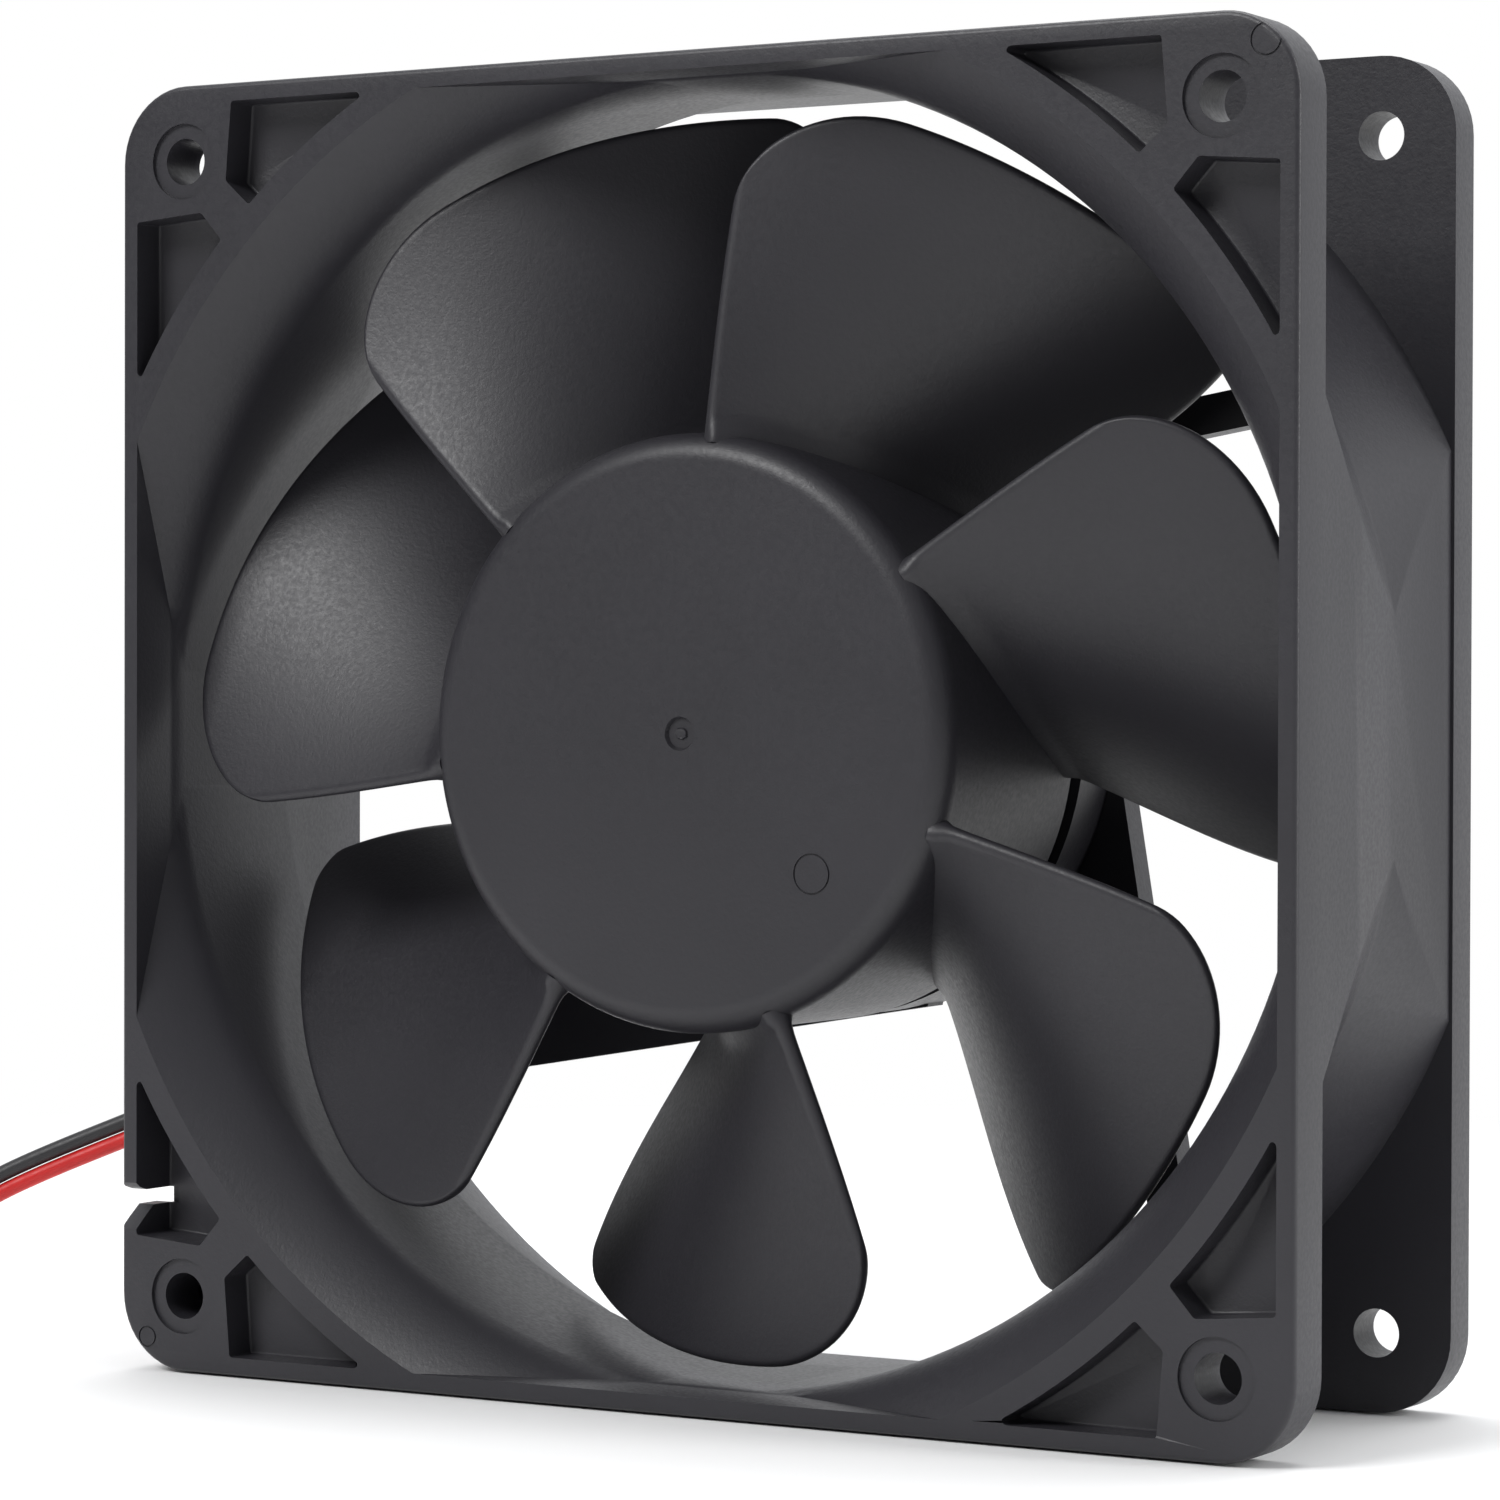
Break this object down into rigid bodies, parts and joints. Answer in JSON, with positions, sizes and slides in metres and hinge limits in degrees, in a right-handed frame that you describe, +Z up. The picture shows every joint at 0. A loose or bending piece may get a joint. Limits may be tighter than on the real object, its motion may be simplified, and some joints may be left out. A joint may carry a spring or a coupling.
{
  "type": "case fan",
  "caption": "Square axial case fan with a dark plastic frame, a bladed impeller on ball bearings, a brushless motor and a red and a black lead.",
  "frame": {"origin": "centre of the bottom of the box, under the middle of the frame's bottom edge", "axes": "+Z up, +Y along the rotor axis from the intake side to the motor side, +X to the right as seen from the intake side"},
  "size_m": [0.1844, 0.0615, 0.119],
  "materials": {
    "frame_plastic": "fine grain",
    "impeller_plastic": "fine grain",
    "steel": "ground",
    "yoke_steel": "drawn",
    "lamination": "stamped",
    "brass": "turned",
    "magnet": "bonded ferrite",
    "insulator": "moulded",
    "copper": "enamelled copper wire",
    "board": "solder mask",
    "chip": "moulded",
    "capacitor": "satin",
    "resistor": "glazed",
    "label": "blank film",
    "red_insulation": "extruded",
    "black_insulation": "extruded",
    "connector": "moulded",
    "tin": "tinned",
    "tie": "moulded"
  },
  "bodies": {
    "root": {"frame_housing": "frame_plastic", "front_bearing_outer_race": "steel", "rear_bearing_outer_race": "steel", "bearing_tube": "brass", "stator_core": "lamination", "front_insulator": "insulator", "rear_insulator": "insulator", "winding_1": "copper", "winding_2": "copper", "winding_3": "copper", "winding_4": "copper", "circuit_board": "board", "hall_sensor": "chip", "driver_chip": "chip", "drive_transistor_1": "chip", "drive_transistor_2": "chip", "polarity_diode": "chip", "resistor_1": "resistor", "resistor_2": "resistor", "resistor_3": "resistor", "smoothing_capacitor": "capacitor", "rear_label": "label", "lead_sleeve": "black_insulation", "lead_red_inside": "red_insulation", "lead_black_inside": "black_insulation", "lead_red": "red_insulation", "lead_black": "black_insulation", "lead_coil_red": "red_insulation", "lead_coil_black": "black_insulation", "lead_red_tail": "red_insulation", "lead_black_tail": "black_insulation", "coil_tie": "tie", "connector_housing": "connector", "crimp_terminal_red": "tin", "crimp_terminal_black": "tin"},
    "rotor": {"impeller": "impeller_plastic", "rotor_yoke": "yoke_steel", "magnet_ring": "magnet", "shaft_bush": "brass", "shaft": "steel", "retaining_clip": "steel", "preload_spring": "steel", "front_bearing_inner_race": "steel", "rear_bearing_inner_race": "steel"},
    "front_cage": {"front_bearing_ball_cage": "brass"},
    "rear_cage": {"rear_bearing_ball_cage": "brass"}
  },
  "joints": [
    {"name": "rotor_spin", "type": "hinge", "parent": "root", "child": "rotor", "pos_m": [0, 0, 0.0595], "axis": [0, 1, 0], "continuous": true},
    {"name": "front_cage_spin", "type": "hinge", "parent": "root", "child": "front_cage", "pos_m": [0, -0.005, 0.0595], "axis": [0, 1, 0], "continuous": true},
    {"name": "rear_cage_spin", "type": "hinge", "parent": "root", "child": "rear_cage", "pos_m": [0, 0.0095, 0.0595], "axis": [0, 1, 0], "continuous": true}
  ],
  "couplings": [
    {"joint": "front_cage_spin", "follows": "rotor_spin", "ratio": 0.41},
    {"joint": "rear_cage_spin", "follows": "rotor_spin", "ratio": 0.41}
  ]
}
